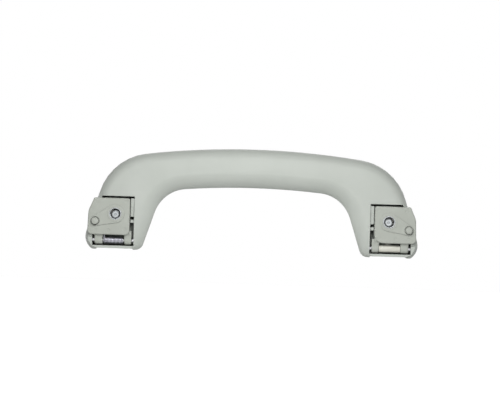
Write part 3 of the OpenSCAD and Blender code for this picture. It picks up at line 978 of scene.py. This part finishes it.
@dataclass
class CaptiveScrew:
    """Hexagon flange screw with a real thread, its end just inside the seat's hole."""

    finishes: Finishes
    recess: float = 1.5 * MM
    length: float = 12.0 * MM
    core: float = 2.50 * MM
    thread: float = 0.50 * MM
    pitch: float = 1.0 * MM
    flange: float = 6.0 * MM
    flange_t: float = 1.2 * MM
    flats: float = 8.0 * MM
    head: float = 4.0 * MM
    pivot: float = 8.95 * MM

    def build(self) -> list[bpy.types.Object]:
        """Builds the screws, each hanging a little aside in its retainer.

        Returns:
            Both screws.
        """
        right = Bench.join([self._shaft(), self._ridge(), self._flange(), self._hexagon()])
        right.name = right.data.name = "right_screw_threaded"
        left = bpy.data.objects.new("left_screw_threaded", right.data.copy())
        left.data.name = left.name
        bpy.context.scene.collection.objects.link(left)
        left.data.transform(Matrix.Translation((-2 * HALF_SPACING, 0, 0)))
        self._hang(left, Side.LEFT, Vector((0, 0, -0.55 * MM)))
        self._hang(right, Side.RIGHT, Vector((-0.38 * MM, 0, -0.38 * MM)))
        return [
            Bench.finish(
                piece, self.finishes.zinc, side.mount, "zinc_steel", (f"{side.word}_screw",), 30
            )
            for side, piece in ((Side.LEFT, left), (Side.RIGHT, right))
        ]

    def _hang(self, screw: bpy.types.Object, side: Side, shift: Vector) -> None:
        """Tilts a loose screw about its retainer.

        Args:
            screw: The screw, straight in its hole.
            side: Foot of the screw.
            shift: How far its end moves aside in the hole.
        """
        hinge = side.at(0, self.pivot, 0)
        reach = Vector((0, self.recess - self.pivot, 0))
        turn = reach.rotation_difference(reach + shift).to_matrix().to_4x4()
        screw.data.transform(
            Matrix.Translation(hinge) @ turn @ Matrix.Translation(-hinge)
        )

    def _rod(self, name: str, radius: float, low: float, high: float, sides: int) -> bpy.types.Object:
        """Adds a round or hexagonal bar along Y on the right screw's axis.

        Args:
            name: Name of the bar.
            radius: Radius to its corners.
            low: Level of its end towards the roof.
            high: Level of its other end.
            sides: Number of its sides.

        Returns:
            The bar.
        """
        Bench.clear()
        bpy.ops.mesh.primitive_cylinder_add(
            vertices=sides, radius=radius, depth=high - low,
            location=Side.RIGHT.at(0, (low + high) / 2, 0), rotation=(math.pi / 2, 0, 0),
        )
        rod = Bench.named(name)
        Bench.tidy(rod)
        return rod

    def _shaft(self) -> bpy.types.Object:
        """Core of the thread, with a chamfered point and a centre mark.

        Returns:
            The shaft.
        """
        shaft = self._rod("shaft", self.core, self.recess, self.recess + self.length, 40)
        with Bench.editing(shaft):
            Bench.pick(shaft, "faces", lambda p, n: n.y < -0.9)
            bpy.ops.mesh.inset(thickness=0.22 * MM, depth=0)
            bpy.ops.mesh.inset(thickness=1.35 * MM, depth=0)
            bpy.ops.mesh.inset(thickness=0.45 * MM, depth=-0.45 * MM)
        with Bench.editing(shaft, "VERT"):
            Bench.pick(
                shaft, "verts",
                lambda p, n: p.y < self.recess + 0.01 * MM
                and Vector((p.x - HALF_SPACING, p.z)).length > self.core - 0.1 * MM,
            )
            bpy.ops.transform.translate(value=(0, 0.25 * MM, 0))
        return shaft

    def _ridge(self) -> bpy.types.Object:
        """Helical ridge of the thread.

        Returns:
            The ridge, closed at both ends.
        """
        low, high = self.recess + 0.62 * MM, self.recess + self.length - 0.5 * MM
        turns = (high - low) / self.pitch
        Bench.clear()
        bpy.ops.mesh.primitive_circle_add(
            vertices=6, radius=self.pitch * 0.46, location=Side.RIGHT.at(0, low, 0)
        )
        ridge = Bench.named("ridge")
        with Bench.editing(ridge, "VERT"):
            bpy.ops.mesh.select_all(action="SELECT")
            bpy.ops.transform.resize(value=(self.thread / (self.pitch * 0.46), 1, 1))
            bpy.ops.transform.translate(value=(self.core, 0, 0))
        Bench.modify(
            ridge, "SCREW", axis="Y", angle=2 * math.pi * turns,
            screw_offset=high - low, iterations=1, steps=round(turns * 30),
            render_steps=round(turns * 30), use_normal_calculate=True,
        )
        Bench.take(ridge)
        with Bench.editing(ridge, "EDGE"):
            bpy.ops.mesh.select_all(action="SELECT")
            bpy.ops.mesh.fill_holes(sides=0)
        Bench.tidy(ridge)
        return ridge

    def _flange(self) -> bpy.types.Object:
        """Flange under the head, thinner at its edge.

        Returns:
            The flange.
        """
        low = self.recess + self.length
        flange = self._rod("flange", self.flange, low, low + self.flange_t, 64)
        with Bench.editing(flange):
            Bench.pick(flange, "faces", lambda p, n: n.y > 0.9)
            bpy.ops.mesh.inset(thickness=0.9 * MM)
            bpy.ops.transform.translate(value=(0, 0.35 * MM, 0))
        Bench.modify(
            flange, "BEVEL", width=0.16 * MM, segments=2, limit_method="ANGLE",
            angle_limit=math.radians(40),
        )
        return flange

    def _hexagon(self) -> bpy.types.Object:
        """Hexagon head with rounded-off corners and a forged hollow.

        Returns:
            The head.
        """
        low = self.recess + self.length + 0.2 * MM
        high = self.recess + self.length + self.head
        corner = self.flats / 2 / math.cos(math.pi / 6)
        head = self._rod("hexagon", corner, low, high, 6)
        turned = self._rod("turned", corner * 1.004, low - 1 * MM, high, 72)
        with Bench.editing(turned):
            Bench.pick(turned, "faces", lambda p, n: n.y > 0.9)
            bpy.ops.mesh.inset(thickness=0.95 * MM)
            bpy.ops.mesh.select_all(action="DESELECT")
        with Bench.editing(turned, "VERT"):
            Bench.pick(
                turned, "verts",
                lambda p, n: p.y > high - 0.01 * MM
                and Vector((p.x - HALF_SPACING, p.z)).length > corner - 0.2 * MM,
            )
            bpy.ops.transform.translate(value=(0, -0.5 * MM, 0))
        Bench.modify(head, "BOOLEAN", operation="INTERSECT", object=turned, solver="EXACT")
        bpy.data.objects.remove(turned)
        with Bench.editing(head):
            Bench.pick(head, "faces", lambda p, n: n.y > 0.99 and p.y > high - 0.01 * MM)
            bpy.ops.mesh.dissolve_faces()
            bpy.ops.mesh.inset(thickness=0.9 * MM)
            bpy.ops.mesh.inset(thickness=0.25 * MM, depth=-0.5 * MM)
        Bench.modify(
            head, "BEVEL", width=0.10 * MM, segments=2, limit_method="ANGLE",
            angle_limit=math.radians(32),
        )
        return head


@dataclass
class Eyelet:
    """Steel sleeve rolled from strip, with a narrow seam, that takes the clamp load."""

    side: Side
    finishes: Finishes
    radius: float = 4.5 * MM
    wall: float = 0.75 * MM
    sides: int = 96

    def build(self) -> list[bpy.types.Object]:
        """Builds the sleeve.

        Returns:
            The sleeve.
        """
        node = f"{self.side.word}_eyelet"
        low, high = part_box(node)
        Bench.clear()
        bpy.ops.mesh.primitive_cylinder_add(
            vertices=self.sides, radius=self.radius, depth=high.y - low.y,
            end_fill_type="NOTHING",
            location=self.side.at(0, (low.y + high.y) / 2, 0), rotation=(math.pi / 2, 0, 0),
        )
        sleeve = Bench.named(f"{self.side.word}_rolled_eyelet")
        Bench.tidy(sleeve)
        with Bench.editing(sleeve):
            Bench.pick(sleeve, "faces", lambda p, n: n.z < -0.998 and n.x > 0)
            bpy.ops.mesh.delete(type="FACE")
        Bench.modify(sleeve, "SOLIDIFY", thickness=self.wall, offset=-1)
        Bench.modify(
            sleeve, "BEVEL", width=0.2 * MM, segments=3, limit_method="ANGLE",
            angle_limit=math.radians(50), use_clamp_overlap=True,
        )
        return [
            Bench.finish(
                sleeve, self.finishes.zinc, self.side.mount, "zinc_steel", (node,), 35
            )
        ]


@dataclass
class Retainer:
    """Nylon ring with six fingers that grip the screw's thread."""

    side: Side
    finishes: Finishes
    outer: float = 6.78 * MM
    root: float = 4.6 * MM
    inner: float = 3.06 * MM
    fingers: int = 6
    sides: int = 72

    def build(self) -> list[bpy.types.Object]:
        """Builds the ring.

        Returns:
            The ring.
        """
        node = f"{self.side.word}_screw_retainer"
        low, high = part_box(node)
        centre = self.side.at(0, low.y, 0)
        Bench.clear()
        bpy.ops.mesh.primitive_circle_add(
            vertices=self.sides, radius=self.outer, fill_type="NGON", location=centre,
            rotation=(math.pi / 2, 0, 0),
        )
        ring = Bench.named(f"{self.side.word}_finger_ring")
        Bench.tidy(ring, turn=False)
        with Bench.editing(ring):
            bpy.ops.mesh.select_all(action="SELECT")
            bpy.ops.mesh.inset(thickness=self.outer - self.root)
            bpy.ops.mesh.inset(thickness=self.root - self.inner)
            bpy.ops.mesh.delete(type="FACE")
            Bench.pick(ring, "faces", lambda p, n: self._in_slot(p - centre))
            bpy.ops.mesh.delete(type="FACE")
        Bench.modify(ring, "SOLIDIFY", thickness=high.y - low.y, offset=0)
        with Bench.editing(ring, "VERT"):
            bpy.ops.mesh.select_all(action="SELECT")
            bpy.ops.transform.translate(value=(0, (high.y - low.y) / 2, 0))
        Bench.tidy(ring)
        Bench.modify(
            ring, "BEVEL", width=0.15 * MM, segments=2, limit_method="ANGLE",
            angle_limit=math.radians(50),
        )
        return [
            Bench.finish(ring, self.finishes.nylon, self.side.mount, "nylon", (node,), 35)
        ]

    def _in_slot(self, spot: Vector) -> bool:
        """Says whether a face lies in one of the slots between the fingers.

        Args:
            spot: Centre of the face, counted from the ring's centre.

        Returns:
            True if the face is cut away.
        """
        turn = math.atan2(spot.z, spot.x) / (2 * math.pi) * self.fingers
        near = Vector((spot.x, spot.z)).length < self.root
        return near and abs(turn - round(turn)) < 0.10


@dataclass
class Bumper:
    """Rubber buffer with a domed end and a groove, pressed into the foot."""

    side: Side
    place: str
    finishes: Finishes
    radius: float = 2.2 * MM
    height: float = 2.2 * MM
    stem: float = 1.1 * MM

    def build(self) -> list[bpy.types.Object]:
        """Builds the buffer.

        Returns:
            The buffer.
        """
        node = f"{self.side.word}_{self.place}_bumper"
        low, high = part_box(node)
        centre = (low + high) / 2
        Bench.clear()
        bpy.ops.mesh.primitive_cylinder_add(
            vertices=40, radius=self.radius, depth=self.height,
            location=(centre.x, low.y + self.height / 2, centre.z),
            rotation=(math.pi / 2, 0, 0),
        )
        head = Bench.named(f"{self.side.word}_{self.place}_buffer")
        Bench.tidy(head)
        with Bench.editing(head):
            for y in (low.y + 1.1 * MM, low.y + 1.5 * MM):
                bpy.ops.mesh.select_all(action="SELECT")
                bpy.ops.mesh.bisect(plane_co=(0, y, 0), plane_no=(0, 1, 0))
            bpy.ops.mesh.select_all(action="DESELECT")
            Bench.pick(
                head, "faces",
                lambda p, n: abs(n.y) < 0.1 and 1.1 * MM < p.y - low.y < 1.5 * MM,
            )
            bpy.ops.mesh.extrude_region_shrink_fatten(
                TRANSFORM_OT_shrink_fatten={"value": -0.18 * MM}
            )
        with Bench.editing(head, "EDGE"):
            Bench.pick(head, "edges", lambda p, n: p.y < low.y + 0.01 * MM)
            bpy.ops.mesh.bevel(offset=0.55 * MM, segments=4, affect="EDGES")
        Bench.clear()
        bpy.ops.mesh.primitive_cylinder_add(
            vertices=24, radius=self.stem, depth=high.y - low.y - self.height + 0.4 * MM,
            location=(centre.x, (high.y + low.y + self.height - 0.4 * MM) / 2, centre.z),
            rotation=(math.pi / 2, 0, 0),
        )
        stem = Bench.named("stem")
        Bench.tidy(stem)
        Bench.modify(
            stem, "BEVEL", width=0.25 * MM, segments=2, limit_method="ANGLE",
            angle_limit=math.radians(50),
        )
        Bench.join([head, stem])
        return [
            Bench.finish(head, self.finishes.rubber, "handle", "rubber", (node,), 40)
        ]


@dataclass
class Rotor:
    """Damper's rotor, whose CAD mesh is right and only gets its finish."""

    nodes: dict[str, bpy.types.Object]
    finishes: Finishes

    def dress(self) -> None:
        """Gives the rotor its finish."""
        node = self.nodes["damper_rotor"]
        for place in node.material_slots:
            place.material = self.finishes.nylon
        log.info("%s keeps its mesh in %s", node.name, self.finishes.nylon.name)


@dataclass
class Studio:
    """Pale floor, soft light and a background that shows white."""

    floor_z: float = -0.142
    floor_size: float = 3.0
    floor_glow: float = 0.84
    ambient: float = 0.03
    upper_power: float = 2.1
    front_power: float = 0.72
    side_power: float = 2.6
    back_power: float = 7.0

    def build(self) -> None:
        """Builds the world, the floor and the lamps."""
        self._world()
        self._floor()
        for side in Side:
            self._lamp(
                f"{side.word}_upper", (0.42 * side.value, -1.00, 0.68), 0.22, self.upper_power
            )
            self._lamp(
                f"{side.word}_side", (1.20 * side.value, 0.90, 0.30), 0.60, self.side_power
            )
        self._lamp("front", (0.0, -0.32, 0.11), 0.16, self.front_power)
        self._lamp("back", (0.0, 1.30, 0.60), 1.30, self.back_power)

    def _world(self) -> None:
        """Soft light from all sides, and white where the camera looks past the handle."""
        world = bpy.data.worlds.new("studio_air")
        bpy.context.scene.world = world
        shader = Shader(world)
        bright = shader.looked_at() * (1 - self.ambient) + self.ambient
        light = shader.node(
            "ShaderNodeBackground", inputs={"Color": (1, 1, 1, 1), "Strength": bright}
        )
        shader.node("ShaderNodeOutputWorld", inputs={"Surface": light})

    def _floor(self) -> None:
        """Pale floor that keeps the handle's soft shadow."""
        Bench.clear()
        bpy.ops.mesh.primitive_plane_add(size=self.floor_size, location=(0, 0, self.floor_z))
        floor = Bench.named("floor")
        Bench.tidy(floor)
        shader = Shader.material("pale_floor")
        speck = shader.noise(60, 3)
        matt = shader.node(
            "ShaderNodeBsdfDiffuse",
            inputs={"Color": shader.mix(speck, (0.80, 0.80, 0.80), (0.82, 0.82, 0.82))},
        )
        glow = shader.node(
            "ShaderNodeEmission", inputs={"Strength": shader.looked_at() * self.floor_glow}
        )
        lit = shader.node("ShaderNodeAddShader", inputs={0: matt, 1: glow})
        shader.node("ShaderNodeOutputMaterial", inputs={"Surface": lit})
        floor.data.materials.append(shader.owner)

    def _lamp(self, name: str, place: Colour, size: float, power: float) -> None:
        """Adds a soft square lamp that faces the handle.

        Args:
            name: Name of the lamp.
            place: Where it stands.
            size: Length of its sides in metres.
            power: Its power in watts.
        """
        light = bpy.data.lights.new(name, "AREA")
        light.shape = "SQUARE"
        light.size = size
        light.energy = power
        lamp = bpy.data.objects.new(name, light)
        bpy.context.scene.collection.objects.link(lamp)
        lamp.location = place
        lamp.rotation_mode = "QUATERNION"
        lamp.rotation_quaternion = (-Vector(place)).to_track_quat("-Z", "Y")


@dataclass
class PhotoCamera:
    """Camera at the photograph's place, which looks along +Y."""

    centre: Vector = field(default_factory=lambda: Vector((-2.05 * MM, 0, 13.03 * MM)))
    width: float = 364.65 * MM
    lens: float = 100.0
    sensor: float = 36.0
    roll: float = 1.818

    def build(self) -> None:
        """Makes the scene's camera."""
        data = bpy.data.cameras.new("photo_camera")
        data.lens = self.lens
        data.sensor_width = self.sensor
        data.clip_start, data.clip_end = 0.01, 20
        camera = bpy.data.objects.new("photo_camera", data)
        bpy.context.scene.collection.objects.link(camera)
        turn = math.radians(self.roll)
        right = Vector((math.cos(turn), 0, math.sin(turn)))
        up = Vector((-math.sin(turn), 0, math.cos(turn)))
        back = Vector((0, -1, 0))
        distance = self.width * self.lens / self.sensor
        camera.matrix_world = Matrix.Translation(self.centre + back * distance) @ Matrix(
            (right, up, back)
        ).transposed().to_4x4()
        bpy.context.scene.camera = camera


def main() -> None:
    """Builds the handle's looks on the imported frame."""
    logging.basicConfig(level=logging.INFO, format="%(message)s")
    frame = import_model()
    nodes = frame["nodes"]
    Bench.clear()
    finishes = Finishes()
    parts = [
        Grip(finishes, nodes),
        Bracket(Side.LEFT, finishes, nodes),
        Bracket(Side.RIGHT, finishes, nodes),
        ReturnSpring(finishes),
        Damper(finishes),
        CaptiveScrew(finishes),
        *(HingePin(side, finishes, nodes) for side in Side),
        *(Eyelet(side, finishes) for side in Side),
        *(Retainer(side, finishes) for side in Side),
        *(Bumper(side, place, finishes) for side in Side for place in ("inner", "outer")),
    ]
    for part in parts:
        for piece in part.build():
            log.info("%s: %d faces", piece.name, len(piece.data.polygons))
    Rotor(nodes, finishes).dress()
    Studio().build()
    PhotoCamera().build()
    bpy.context.scene.view_settings.view_transform = "Standard"


if __name__ == "__main__":
    main()
